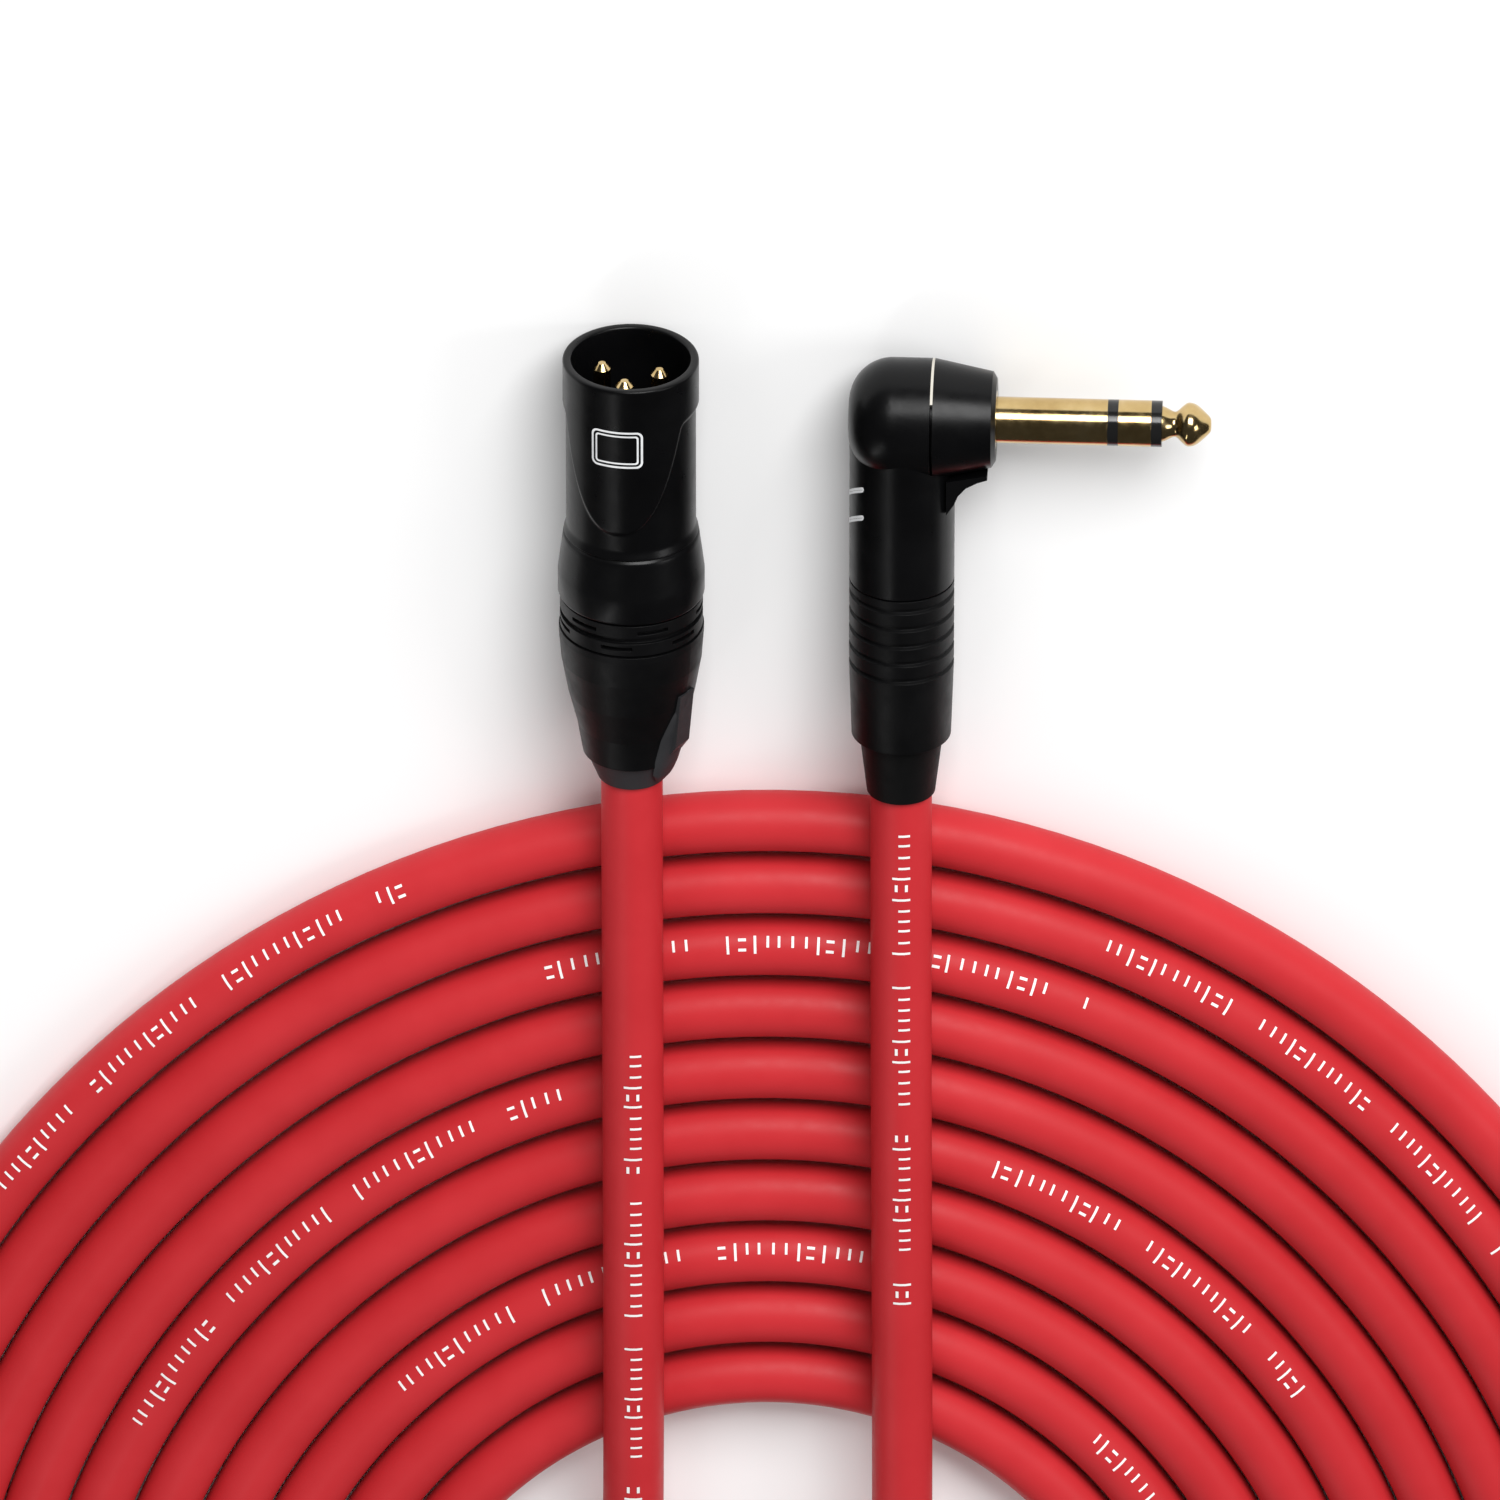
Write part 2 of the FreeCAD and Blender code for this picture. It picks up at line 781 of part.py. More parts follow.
def make_trs_housing():
    """The elbow: a barrel about the contact's axis joined to the handle, hollow, with a threaded spigot."""
    body = new_body("trs_housing", trs_place())
    head = revolve(
        body,
        "head",
        [
            ("-head_back", 0),
            ("-head_back", "head_radius"),
            ("seam_start", "head_radius"),
            ("seam_start", 0),
        ],
        axis="H_Axis",
    )
    document.recompute()
    back = -size("head_back")
    round_edges(
        body,
        "head_back_edge",
        head,
        "head_rounding",
        lambda edge: edge.Closed and abs(edge.CenterOfMass.x - back) < 0.01,
    )
    revolve(
        body,
        "handle",
        [
            (0, 0),
            ("handle_radius", 0),
            ("handle_radius", "handle_end"),
            ("handle_spigot", "handle_end"),
            ("handle_spigot", "handle_spigot_end"),
            (0, "handle_spigot_end"),
        ],
    )
    web = outline(
        body,
        "web",
        [
            ("handle_radius - 1", "head_radius - 0.6"),
            ("nose_taper_end - 0.5", "nose_front - 0.2"),
            ("nose_taper_end - 0.5", "nose_front + 0.45"),
            ("handle_radius + 3.2", "head_radius - 0.65"),
            ("handle_radius + 1.7", "head_radius + 0.2"),
            ("handle_radius + 0.6", "head_radius + 1.5"),
            ("handle_radius + 0.1", "head_radius + 2.8"),
            ("handle_radius - 1", "head_radius + 4.5"),
        ],
    )
    pad(body, "web_fill", web, "2 * web_half", midplane=True)
    revolve(
        body,
        "nose_seat",
        [
            ("seam_start", 0),
            ("seam_start", "head_radius"),
            ("seam_start + seam_width", "head_radius"),
            ("nose_taper_end", "nose_front"),
            ("nose_taper_end", 0),
        ],
        axis="H_Axis",
        cut=True,
    )
    revolve(
        body,
        "head_bore",
        [
            ("-head_bore_back", 0),
            ("-head_bore_back", "head_bore"),
            ("seam_start", "head_bore"),
            ("seam_start", 0),
        ],
        axis="H_Axis",
        cut=True,
    )
    revolve(
        body,
        "handle_cavity",
        [
            (0, 0),
            ("handle_bore", 0),
            ("handle_bore", "handle_bore_end"),
            ("handle_spigot_bore", "handle_bore_end + 1"),
            ("handle_spigot_bore", "handle_spigot_end + 1"),
            (0, "handle_spigot_end + 1"),
        ],
        cut=True,
    )


def make_trs_nose():
    """The conical nose that closes the elbow and holds the contact stack."""
    body = new_body("trs_nose", trs_place())
    revolve(
        body,
        "cone",
        [
            ("nose_spigot_start", "nose_bore"),
            ("nose_spigot_start", "head_bore"),
            ("seam_start + seam_width", "head_bore"),
            ("seam_start + seam_width", "head_radius"),
            ("nose_taper_end", "nose_front"),
            ("nose_end", "nose_face"),
            ("nose_end", "sleeve_collar"),
            ("flange_end", "sleeve_collar"),
            ("flange_end", "nose_bore"),
        ],
        axis="H_Axis",
    )


def make_trs_seam_ring():
    """The bright metal shim in the upper part of the seam between elbow and nose."""
    body = new_body("trs_seam_ring", trs_place())
    revolve(
        body,
        "shim",
        [
            ("seam_start", "-head_bore"),
            ("seam_start", "-head_radius"),
            ("seam_start + seam_width", "-head_radius"),
            ("seam_start + seam_width", "-head_bore"),
        ],
        axis="H_Axis",
        angle="seam_arc",
        midplane=True,
    )


def make_trs_contacts():
    """Sleeve, ring and tip with the two insulators between them, all turned about the contact's axis."""
    stack = {
        "trs_sleeve": [
            ("flange_start", "sleeve_bore"),
            ("flange_start", "flange_radius"),
            ("flange_end", "flange_radius"),
            ("flange_end", "sleeve_collar"),
            ("nose_end", "sleeve_collar"),
            ("nose_end", "contact_radius"),
            ("sleeve_end", "contact_radius"),
            ("sleeve_end", "sleeve_bore"),
        ],
        "trs_insulator_rear": [
            ("rear_tube_start", "ring_stem"),
            ("rear_tube_start", "sleeve_bore"),
            ("sleeve_end", "sleeve_bore"),
            ("sleeve_end", "contact_radius"),
            ("ring_start", "contact_radius"),
            ("ring_start", "ring_stem"),
        ],
        "trs_ring": [
            ("ring_stem_start", "ring_stem_bore"),
            ("ring_stem_start", "ring_stem"),
            ("ring_start", "ring_stem"),
            ("ring_start", "contact_radius"),
            ("ring_end", "contact_radius"),
            ("ring_end", "ring_stem_bore"),
        ],
        "trs_insulator_front": [
            ("front_tube_start", "rod_radius"),
            ("front_tube_start", "ring_stem_bore"),
            ("ring_end", "ring_stem_bore"),
            ("ring_end", "contact_radius"),
            ("tip_start", "contact_radius"),
            ("tip_start", "rod_radius"),
        ],
        "trs_tip": [
            ("rod_start", 0),
            ("rod_start", "rod_radius"),
            ("tip_start", "rod_radius"),
            ("tip_start", "tip_root"),
            ("tip_waist_along", "tip_waist"),
            ("tip_bulb_along", "tip_bulb"),
            ("tip_shoulder_along", "tip_shoulder"),
            ("tip_end", "tip_flat"),
            ("tip_end", 0),
        ],
    }
    for label, points in stack.items():
        revolve(new_body(label, trs_place()), "turning", points, axis="H_Axis")


def make_trs_tags():
    """The three solder tags inside the elbow."""
    tip = new_body("trs_tag_tip", trs_place())
    plate = outline(
        tip,
        "plate",
        [
            ("rod_start - tag_thickness", "-tag_overlap"),
            ("rod_start", "-tag_overlap"),
            ("rod_start", "tag_reach"),
            ("rod_start - tag_thickness", "tag_reach"),
        ],
    )
    pad(tip, "leaf", plate, "2 * tag_half_width", midplane=True)

    ring = new_body("trs_tag_ring", trs_place())
    plate = outline(
        ring,
        "plate",
        [
            ("ring_stem_start - tag_thickness", "-tag_overlap"),
            ("ring_stem_start", "-tag_overlap"),
            ("ring_stem_start", "tag_reach"),
            ("ring_stem_start - tag_thickness", "tag_reach"),
        ],
    )
    pad(ring, "leaf", plate, "2 * tag_half_width", midplane=True)
    revolve(
        ring,
        "eye",
        [
            ("ring_stem_start - 2 * tag_thickness", 0),
            ("ring_stem_start - 2 * tag_thickness", "ring_stem_bore"),
            ("ring_stem_start + tag_thickness", "ring_stem_bore"),
            ("ring_stem_start + tag_thickness", 0),
        ],
        axis="H_Axis",
        cut=True,
    )

    ground = new_body("trs_tag_sleeve", trs_place())
    revolve(
        ground,
        "washer",
        [
            ("ground_washer_start", "sleeve_bore"),
            ("ground_washer_start", "flange_radius"),
            ("flange_start", "flange_radius"),
            ("flange_start", "sleeve_bore"),
        ],
        axis="H_Axis",
    )
    strip = outline(
        ground,
        "strip",
        [
            ("ground_strip_start", "ground_strip_height"),
            ("flange_start", "ground_strip_height"),
            ("flange_start", "ground_strip_height + tag_thickness"),
            ("ground_strip_start", "ground_strip_height + tag_thickness"),
        ],
        plane="XY_Plane",
    )
    pad(ground, "leaf", strip, "2 * ground_strip_half", midplane=True)


def make_trs_chuck():
    """The slit collet that clamps the cable in the handle's spigot."""
    body = new_body("trs_chuck", trs_place())
    revolve(
        body,
        "collet",
        [
            ("cable_radius", "trs_chuck_start"),
            ("handle_spigot_bore", "trs_chuck_start"),
            ("handle_spigot_bore", "trs_chuck_end"),
            ("cable_radius", "trs_chuck_end"),
        ],
    )
    slit = outline(
        body,
        "slit",
        [
            ("cable_radius - 1", "trs_chuck_start + 3"),
            ("handle_radius", "trs_chuck_start + 3"),
            ("handle_radius", "trs_chuck_end + 1"),
            ("cable_radius - 1", "trs_chuck_end + 1"),
        ],
    )
    cut = pocket(body, "first_slit", slit, "chuck_slit", midplane=True)
    repeat_round(body, "slits", [cut], 4)


def make_trs_bushing():
    """The ribbed nut that screws on the handle's spigot."""
    body = new_body("trs_bushing", trs_place())
    grooves = []
    for k in range(int(size("nut_groove_count"))):
        at = f"nut_groove_first + {k} * nut_groove_pitch"
        grooves += [
            ("handle_radius", at),
            ("handle_radius - nut_groove_depth", f"{at} + nut_groove_width / 4"),
            ("handle_radius - nut_groove_depth", f"{at} + nut_groove_width * 3 / 4"),
            ("handle_radius", f"{at} + nut_groove_width"),
        ]
    revolve(
        body,
        "nut",
        [
            ("nut_thread_bore", "nut_start"),
            ("handle_radius", "nut_start"),
            *grooves,
            ("handle_radius", "nut_grip_end"),
            ("nut_end_radius", "nut_end"),
            ("nut_bore", "nut_end"),
            ("nut_bore", "nut_thread_end"),
            ("nut_thread_bore", "nut_thread_end"),
        ],
    )


def make_trs_boot():
    """The rubber boot behind the nut."""
    body = new_body("trs_boot", trs_place())
    revolve(
        body,
        "sleeve",
        [
            ("boot_bore", "trs_boot_start"),
            ("trs_boot_seat", "trs_boot_start"),
            ("trs_boot_seat", "trs_boot_shoulder_along"),
            ("trs_boot_shoulder", "trs_boot_shoulder_along"),
            ("trs_boot_lip", "trs_boot_end"),
            ("boot_bore", "trs_boot_end"),
        ],
    )


def make_trs_wires():
    """The two cores and the drain, from the end of the jacket to the solder tags."""
    spread = size("core_spread")
    end = size("trs_jacket_end")
    reach = size("tag_reach")
    tip_tag = size("rod_start") - size("tag_thickness") / 2
    ring_tag = size("ring_stem_start") - size("tag_thickness") / 2
    strip = size("ground_strip_height") + size("tag_thickness") / 2
    place = trs_place()
    core = size("core_radius")
    for label, start, tag in (("trs_wire_tip", -spread, tip_tag), ("trs_wire_ring", spread, ring_tag)):
        points = [
            Vector(start, 0, end),
            Vector(start, 0, 20),
            Vector(tag, 0, 13),
            Vector(tag, 0, reach),
        ]
        tube(label, points, core, place)
    points = [
        Vector(0, spread, end),
        Vector(0, spread + 0.5, 21),
        Vector(ring_tag, strip, 12),
        Vector(ring_tag, strip, size("ground_strip_half")),
    ]
    tube("trs_wire_drain", points, size("drain_radius"), place)


def make_trs_plug():
    """Every piece of the TRS plug."""
    make_trs_housing()
    make_trs_nose()
    make_trs_seam_ring()
    make_trs_contacts()
    make_trs_tags()
    make_trs_chuck()
    make_trs_bushing()
    make_trs_boot()
    make_trs_wires()


# ---------------------------------------------------------------- check and write


def check_and_write():
    """Stops at any failed object or bad shape, then writes each sub-part to its own file."""
    document.recompute()
    for thing in document.Objects:
        if "Invalid" in thing.State or "Error" in thing.State:
            raise RuntimeError(f"{thing.Label} failed: {thing.State}")
    for part in sub_parts:
        if part.Shape.isNull() or not part.Shape.isValid() or part.Shape.Volume <= 0:
            raise RuntimeError(f"{part.Label} has no valid shape")
    os.makedirs("parts", exist_ok=True)
    for part in sub_parts:
        part.Shape.exportStep(f"parts/{part.Label}.step")
    print(len(sub_parts), "sub-parts written")


make_coil()
make_leads()
make_xlr_plug()
make_trs_plug()
check_and_write()
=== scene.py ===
"""The looks of a coiled audio cable, on the CAD frame: a straight XLR plug and a right-angle TRS jack plug.

Metres throughout, in the CAD's frame. Each plug has a frame of its own, as in the CAD source:
- XLR: +Z from the mouth towards the cable, +Y the upper side.
- TRS: +X along the contact, +Z along the handle towards the cable, +Y the upper side.
"""

import bpy
import json
import math
from mathutils import Matrix, Vector

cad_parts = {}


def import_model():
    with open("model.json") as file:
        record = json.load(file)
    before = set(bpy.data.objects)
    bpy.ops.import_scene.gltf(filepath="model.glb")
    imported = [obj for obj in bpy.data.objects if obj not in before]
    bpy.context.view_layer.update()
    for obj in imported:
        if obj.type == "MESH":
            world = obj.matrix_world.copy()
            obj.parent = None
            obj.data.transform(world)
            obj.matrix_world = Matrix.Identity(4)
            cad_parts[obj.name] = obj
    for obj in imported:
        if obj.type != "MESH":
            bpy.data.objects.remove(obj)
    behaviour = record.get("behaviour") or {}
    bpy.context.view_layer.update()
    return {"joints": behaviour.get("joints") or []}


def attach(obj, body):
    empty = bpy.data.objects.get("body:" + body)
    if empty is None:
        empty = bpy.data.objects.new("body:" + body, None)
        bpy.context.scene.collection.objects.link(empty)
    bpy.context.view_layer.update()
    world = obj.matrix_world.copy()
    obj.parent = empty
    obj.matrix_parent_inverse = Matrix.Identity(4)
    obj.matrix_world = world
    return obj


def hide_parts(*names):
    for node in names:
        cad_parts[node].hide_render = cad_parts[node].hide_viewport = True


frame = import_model()

MM = 0.001
TAU = 2 * math.pi

# ---------------------------------------------------------------- places


def plug_place(plug, behind, roll):
    """A plug's own frame in the row frame, from its bushing's hinge.

    behind is the hinge's distance along the plug's axis."""
    joint = next(j for j in frame["joints"] if j["name"] == f"{plug}_bushing_turn")
    along = Vector(joint["axis"]).normalized()
    origin = Vector(joint["pos_m"]) - along * behind
    across = Vector((1, 0, 0))
    up = along.cross(across).normalized()
    turned = Matrix.Rotation(math.radians(roll), 3, along)
    across, up = turned @ across, turned @ up
    place = Matrix((across, up, along)).transposed().to_4x4()
    place.translation = origin
    return place


HINGE_ALONG = 45 * MM
XLR = plug_place("xlr", HINGE_ALONG, 12)
TRS = plug_place("trs", HINGE_ALONG, 3)

# ---------------------------------------------------------------- cable route

CABLE_RADIUS = 4.25 * MM
LIE = CABLE_RADIUS
COIL_MIDDLE = -74.35 * MM

# Points of the two leads, listed as in the CAD source.
XLR_LEAD = (
    (-0.0185, -0.0076, 0.0129),
    (-0.0188, -0.0336, 0.0082),
    (-0.0200, -0.0606, 0.0043),
    (-0.0070, -0.0795, 0.0043),
    (0.0140, -0.0866, 0.0043),
    (0.0344, -0.0806, 0.0043),
)
TRS_LEAD = (
    (-0.0650, -0.1532, 0.0066),
    (-0.0485, -0.1594, 0.0109),
    (-0.0260, -0.1582, 0.0129),
    (0.0023, -0.1430, 0.0131),
    (0.0187, -0.1155, 0.0133),
    (0.0189, -0.0736, 0.0132),
    (0.0191, -0.0366, 0.0116),
    (0.0190, 0.0044, 0.0129),
)
TURNS = 10
POINTS_PER_TURN = 36

# Degrees, counted anticlockwise from +X: where a turn starts to move out, and how long that takes.
STEP_START = 240
STEP_SPAN = 60

# Degrees on the first and last turn where the coil meets its leads.
COIL_START = 6
COIL_END = 222


def half_axes(turn):
    """Half width and half length, in millimetres, of the ellipse that a turn's upper part follows."""
    return 59.49 + 8.55 * turn, 73.37 + 10.393 * turn


def turn_radius(turn, angle):
    """Distance of a turn's centre line from the coil's middle at an angle, seen from above.

    The upper part is a half ellipse; the lower part closes it with a shorter one that joins it smoothly."""
    a, b = (half * MM for half in half_axes(turn))
    # How far up the two ellipses meet, and how far down the lower one reaches, from the coil's middle.
    join = (50 + 5.4 * max(turn - 6, 0)) * MM
    bottom = -(17 + 8.5 * turn) * MM
    x_join = a * math.sqrt(1 - (join / b) ** 2)
    slope = (b / a) ** 2 * x_join / join
    height = join - bottom
    drop = height**2 / (slope * x_join + 2 * height)
    centre = join - drop
    low_b = height - drop
    low_a = math.sqrt(x_join**2 + x_join * drop / slope)
    c, s = math.cos(angle), math.sin(angle)
    radius = a * b / math.hypot(b * c, a * s)
    if radius * s >= join:
        return radius
    qa = (c / low_a) ** 2 + (s / low_b) ** 2
    qb = -2 * s * centre / low_b**2
    qc = (centre / low_b) ** 2 - 1
    return (-qb + math.sqrt(qb * qb - 4 * qa * qc)) / (2 * qa)


def coil_point(degrees):
    """The coil's centre line at an angle that keeps counting from turn to turn.

    Each turn moves out by one place over a short stretch at the side away from the plugs."""
    turn = math.floor((degrees - STEP_START) / 360) + 1
    step = ((degrees - STEP_START) % 360) / STEP_SPAN
    angle = math.radians(degrees)
    radius = turn_radius(turn, angle)
    if step < 1:
        eased = step * step * (3 - 2 * step)
        radius = radius * eased + turn_radius(turn - 1, angle) * (1 - eased)
    radius /= math.cos(math.pi / POINTS_PER_TURN)
    return (radius * math.cos(angle), COIL_MIDDLE + radius * math.sin(angle), LIE)


def cable_route():
    """The whole cable's control points.

    XLR plug, its lead, the turns from the inside out, the other lead, jack plug."""
    step = 360 / POINTS_PER_TURN
    last = 360 * (TURNS - 1) + COIL_END
    count = round((last - COIL_START) / step)
    coil = [coil_point(COIL_START + (last - COIL_START) * k / count) for k in range(count + 1)]
    leaving = [tuple(XLR @ Vector((0, 0, along * MM))) for along in (38, 99.5)]
    arriving = [tuple(TRS @ Vector((0, 0, along * MM))) for along in (84, 30)]
    return leaving + list(XLR_LEAD) + coil + list(TRS_LEAD) + arriving


def spline_curve(name, points, bevel):
    """A NURBS curve object from its control points.

    The points carry the tube's radius, so that the curve's own bounds stay true."""
    curve = bpy.data.curves.new(name, "CURVE")
    curve.dimensions = "3D"
    curve.resolution_u = 6
    curve.bevel_depth = 1 if bevel else 0
    curve.bevel_resolution = 8
    curve.use_fill_caps = True
    spline = curve.splines.new("NURBS")
    spline.points.add(len(points) - 1)
    for point, place in zip(spline.points, points):
        point.co = (*place, 1)
        point.radius = bevel or 0.001
    spline.order_u = 3
    spline.use_endpoint_u = True
    piece = bpy.data.objects.new(name, curve)
    bpy.context.scene.collection.objects.link(piece)
    return piece


cable = spline_curve("cable_jacket", cable_route(), CABLE_RADIUS)
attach(cable, "cable")
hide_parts("cable_coil", "lead_xlr", "lead_trs")

# ---------------------------------------------------------------- materials


class Nodes:
    """A material's node tree, with short calls for the few nodes that every finish here is made of."""

    def __init__(self, name):
        self.material = bpy.data.materials.new(name)
        self.material.use_nodes = True
        self.tree = self.material.node_tree
        self.shader = self.tree.nodes["Principled BSDF"]
        self.place = self.tree.nodes.new("ShaderNodeTexCoord").outputs["Object"]

    def link(self, source, target):
        """Join an output socket to an input socket."""
        self.tree.links.new(source, target)

    def noise(self, scale, detail=4, rough=0.6, stretch=None):
        """Noise on the piece's own coordinates, in cycles per metre."""
        node = self.tree.nodes.new("ShaderNodeTexNoise")
        node.inputs["Scale"].default_value = scale
        node.inputs["Detail"].default_value = detail
        node.inputs["Roughness"].default_value = rough
        place = self.place
        if stretch:
            mapping = self.tree.nodes.new("ShaderNodeMapping")
            mapping.inputs["Scale"].default_value = stretch
            self.link(place, mapping.inputs["Vector"])
            place = mapping.outputs["Vector"]
        self.link(place, node.inputs["Vector"])
        return node.outputs["Fac"]

    def ramp(self, factor, stops):
        """Colours against a factor, from (place, colour) pairs."""
        node = self.tree.nodes.new("ShaderNodeValToRGB")
        band = node.color_ramp
        for element, (at, colour) in zip(band.elements, (stops[0], stops[-1])):
            element.position, element.color = at, (*colour, 1)
        for at, colour in stops[1:-1]:
            band.elements.new(at).color = (*colour, 1)
        self.link(factor, node.inputs["Fac"])
        return node.outputs["Color"]

    def span(self, factor, low, high):
        """A factor between 0.3 and 0.7 spread over low to high."""
        node = self.tree.nodes.new("ShaderNodeMapRange")
        for name, value in (("From Min", 0.3), ("From Max", 0.7), ("To Min", low), ("To Max", high)):
            node.inputs[name].default_value = value
        self.link(factor, node.inputs["Value"])
        return node.outputs["Result"]

    def bumps(self, layers, edge=0.0):
        """Bumps laid over each other, from (factor, height in metres) pairs.

        edge is the radius that eases the piece's edges."""
        normal = None
        if edge:
            bevel = self.tree.nodes.new("ShaderNodeBevel")
            bevel.samples = 4
            bevel.inputs["Radius"].default_value = edge
            normal = bevel.outputs["Normal"]
        for factor, height in layers:
            bump = self.tree.nodes.new("ShaderNodeBump")
            bump.inputs["Distance"].default_value = height
            self.link(factor, bump.inputs["Height"])
            if normal:
                self.link(normal, bump.inputs["Normal"])
            normal = bump.outputs["Normal"]
        if normal:
            self.link(normal, self.shader.inputs["Normal"])


def finish(name, dark, light, rough, bump, grain=1500, patch=60, metal=0.0, edge=0.0, level=0.5):
    """A finish whose colour drifts in broad patches and whose gloss drifts finer, over a fine grain.

    rough is the lowest and highest roughness, bump the grain's height, grain and patch cycles per metre."""
    nodes = Nodes(name)
    shader = nodes.shader
    nodes.link(nodes.ramp(nodes.noise(patch, 3), ((0.3, dark), (0.7, light))), shader.inputs["Base Color"])
    nodes.link(nodes.span(nodes.noise(patch * 6, 5), *rough), shader.inputs["Roughness"])
    shader.inputs["Metallic"].default_value = metal
    shader.inputs["Specular IOR Level"].default_value = level
    nodes.bumps([(nodes.noise(grain, 3), bump), (nodes.noise(grain / 8, 2), bump * 2)], edge)
    return nodes.material


def turned_gold():
    """Polished gold plate with faint turning lines round it and a few worn, paler patches."""
    nodes = Nodes("gold")
    tones = ((0.25, (0.52, 0.35, 0.14)), (0.55, (0.66, 0.48, 0.22)), (0.8, (0.76, 0.60, 0.34)))
    nodes.link(nodes.ramp(nodes.noise(220, 4), tones), nodes.shader.inputs["Base Color"])
    nodes.link(nodes.span(nodes.noise(900, 4), 0.10, 0.22), nodes.shader.inputs["Roughness"])
    nodes.shader.inputs["Metallic"].default_value = 1.0
    nodes.bumps([(nodes.noise(1800, 2, stretch=(1, 0.05, 0.05)), 2e-6)], 0.00008)
    return nodes.material


JACKET = finish(
    "jacket", (0.50, 0.021, 0.027), (0.545, 0.026, 0.033), (0.42, 0.54), 6e-6, grain=2600, level=0.2
)
COATING = finish(
    "black_coating", (0.0012, 0.0012, 0.0014), (0.003, 0.003, 0.0034), (0.27, 0.36), 7e-6,
    grain=1900, edge=8e-5, level=0.2,
)
PLASTIC = finish(
    "black_plastic", (0.0014, 0.0014, 0.0016), (0.0036, 0.0036, 0.004), (0.36, 0.5), 1.4e-5,
    grain=1300, edge=1e-4, level=0.2,
)
RUBBER = finish(
    "black_rubber", (0.020, 0.020, 0.022), (0.032, 0.032, 0.035), (0.46, 0.6), 2e-5,
    grain=1100, edge=1.2e-4, level=0.3,
)
DARK_RUBBER = finish(
    "dark_rubber", (0.0014, 0.0014, 0.0015), (0.004, 0.004, 0.0043), (0.5, 0.66), 2e-5,
    grain=1100, edge=1.2e-4, level=0.2,
)
INSERT = finish(
    "insert_plastic", (0.001, 0.001, 0.001), (0.003, 0.003, 0.003), (0.5, 0.65), 1e-5, level=0.15
)
INSULATOR = finish("insulator", (0.006, 0.006, 0.006), (0.012, 0.012, 0.012), (0.12, 0.24), 2e-6)
SEAM = finish("pale_seam", (0.45, 0.42, 0.36), (0.62, 0.59, 0.52), (0.30, 0.45), 4e-6)
PRINT = finish("print", (0.82, 0.80, 0.79), (0.95, 0.94, 0.93), (0.45, 0.6), 4e-6, grain=2500, patch=300)
MARK = finish("mark", (0.62, 0.63, 0.64), (0.86, 0.87, 0.88), (0.35, 0.5), 4e-6, grain=2000, patch=400)
BRASS = finish(
    "tinned_brass", (0.55, 0.52, 0.47), (0.72, 0.70, 0.66), (0.25, 0.42), 6e-6, grain=1400, metal=1.0
)
CORE_RED = finish("core_red", (0.50, 0.02, 0.02), (0.62, 0.04, 0.03), (0.4, 0.55), 8e-6)
CORE_WHITE = finish("core_white", (0.70, 0.69, 0.66), (0.80, 0.79, 0.76), (0.4, 0.55), 8e-6)
COPPER = finish("copper", (0.62, 0.28, 0.16), (0.84, 0.42, 0.28), (0.25, 0.4), 1e-5, metal=1.0)
GOLD = turned_gold()

FINISHES = {
    "xlr_insert": INSERT, "xlr_pin_1": GOLD, "xlr_pin_2": GOLD, "xlr_pin_3": GOLD,
    "xlr_ground_contact": BRASS, "xlr_coding_ring": PLASTIC, "xlr_chuck": PLASTIC,
    "xlr_bushing": PLASTIC, "xlr_boot": RUBBER,
    "xlr_wire_drain": COPPER, "xlr_wire_hot": CORE_RED, "xlr_wire_cold": CORE_WHITE,
    "trs_housing": COATING, "trs_nose": COATING, "trs_seam_ring": SEAM,
    "trs_sleeve": GOLD, "trs_insulator_rear": INSULATOR, "trs_ring": GOLD,
    "trs_insulator_front": INSULATOR, "trs_tip": GOLD,
    "trs_tag_tip": BRASS, "trs_tag_ring": BRASS, "trs_tag_sleeve": BRASS,
    "trs_chuck": PLASTIC, "trs_bushing": PLASTIC, "trs_boot": DARK_RUBBER,
    "trs_wire_tip": CORE_RED, "trs_wire_ring": CORE_WHITE, "trs_wire_drain": COPPER,
}
for node, material in FINISHES.items():
    for holder in bpy.data.objects[node].material_slots:
        holder.link = "OBJECT"
        holder.material = material
cable.data.materials.append(JACKET)

# ---------------------------------------------------------------- mesh helpers


def mesh_piece(name, points, faces, material, body, slot):
    """A smooth mesh piece in the row frame that rides on a CAD body."""
    mesh = bpy.data.meshes.new(name)
    mesh.from_pydata([tuple(p) for p in points], [], faces)
    mesh.materials.append(material)
    mesh.shade_smooth()
    mesh.update()
    piece = bpy.data.objects.new(name, mesh)
    bpy.context.scene.collection.objects.link(piece)
    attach(piece, body)
    return piece


def lathe_faces(columns, rows):
    """Faces of a closed profile turned all the way round, column by column."""
    faces = []
    for k in range(columns):
        here, there = k * rows, (k + 1) % columns * rows
        for i in range(rows):
            j = (i + 1) % rows
            faces.append((here + i, here + j, there + j, there + i))
    return faces


def join_faces(parts):
    """Several sets of points and faces as one."""
    points, faces = [], []
    for more, ring in parts:
        faces += [tuple(len(points) + i for i in face) for face in ring]
        points += more
    return points, faces


def between(knots, at):
    """A value read off a few (place, value) knots with straight runs between them."""
    for (a, low), (b, high) in zip(knots, knots[1:]):
        if at <= b:
            return low + (high - low) * max(at - a, 0) / (b - a)
    return knots[-1][1]


# ---------------------------------------------------------------- XLR shell, boot finger and TRS tip

